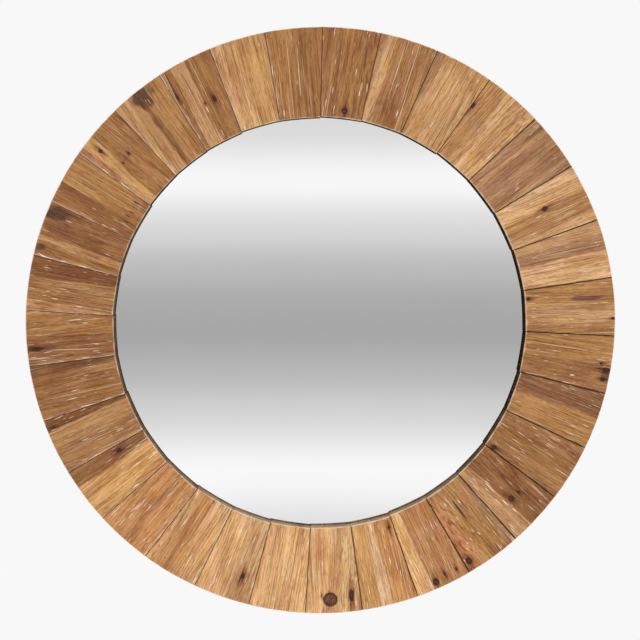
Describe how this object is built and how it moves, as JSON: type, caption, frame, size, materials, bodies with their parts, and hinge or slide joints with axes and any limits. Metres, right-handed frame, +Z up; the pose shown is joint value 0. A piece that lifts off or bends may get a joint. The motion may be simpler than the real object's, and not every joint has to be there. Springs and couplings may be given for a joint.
{
  "type": "round wall mirror",
  "caption": "Round wall mirror: a fan of tapered wooden staves around a recessed silvered glass, with a board, back panel, pads and strap hangers behind.",
  "frame": {"origin": "the middle of the mirror, in the plane of the wall that its pads rest against", "axes": "+Z up the wall, +Y into the wall, so the mirror faces -Y, and +X to the right as seen from the front"},
  "size_m": [0.8, 0.03, 0.8],
  "materials": {
    "stave_wood": "old softwood, planed and brushed, oiled, with white flecks of an old wash",
    "silvered_glass": "silvered float glass",
    "black_board": "fibreboard painted matt black",
    "grey_card": "grey packing card",
    "hardboard": "pressed hardboard, screen-marked face out",
    "zinc_steel": "bright zinc plate",
    "black_rubber": "matt moulded rubber"
  },
  "bodies": {
    "mirror": {"stave_01": "stave_wood", "stave_02": "stave_wood", "stave_03": "stave_wood", "stave_04": "stave_wood", "stave_05": "stave_wood", "stave_06": "stave_wood", "stave_07": "stave_wood", "stave_08": "stave_wood", "stave_09": "stave_wood", "stave_10": "stave_wood", "stave_11": "stave_wood", "stave_12": "stave_wood", "stave_13": "stave_wood", "stave_14": "stave_wood", "stave_15": "stave_wood", "stave_16": "stave_wood", "stave_17": "stave_wood", "stave_18": "stave_wood", "stave_19": "stave_wood", "stave_20": "stave_wood", "stave_21": "stave_wood", "stave_22": "stave_wood", "stave_23": "stave_wood", "stave_24": "stave_wood", "stave_25": "stave_wood", "stave_26": "stave_wood", "stave_27": "stave_wood", "stave_28": "stave_wood", "stave_29": "stave_wood", "stave_30": "stave_wood", "stave_31": "stave_wood", "stave_32": "stave_wood", "backing_board": "black_board", "mirror_glass": "silvered_glass", "packing_card": "grey_card", "back_panel": "hardboard", "panel_screw_1": "zinc_steel", "panel_screw_2": "zinc_steel", "panel_screw_3": "zinc_steel", "panel_screw_4": "zinc_steel", "panel_screw_5": "zinc_steel", "panel_screw_6": "zinc_steel", "panel_screw_7": "zinc_steel", "panel_screw_8": "zinc_steel", "hanger_strap_left": "zinc_steel", "hanger_strap_right": "zinc_steel", "hanger_screw_left_1": "zinc_steel", "hanger_screw_left_2": "zinc_steel", "hanger_screw_right_1": "zinc_steel", "hanger_screw_right_2": "zinc_steel", "wall_pad_right": "black_rubber", "wall_pad_top": "black_rubber", "wall_pad_left": "black_rubber", "wall_pad_bottom": "black_rubber"},
    "loop_left": {"hanger_loop_left": "zinc_steel"},
    "loop_right": {"hanger_loop_right": "zinc_steel"}
  },
  "joints": [
    {"name": "loop_left_swing", "type": "hinge", "parent": "mirror", "child": "loop_left", "pos_m": [-0.25477, -0.0032, 0.23757], "axis": [-1, 0, 0], "range_deg": [0, 183]},
    {"name": "loop_right_swing", "type": "hinge", "parent": "mirror", "child": "loop_right", "pos_m": [0.25477, -0.0032, 0.23757], "axis": [-1, 0, 0], "range_deg": [0, 183]}
  ]
}
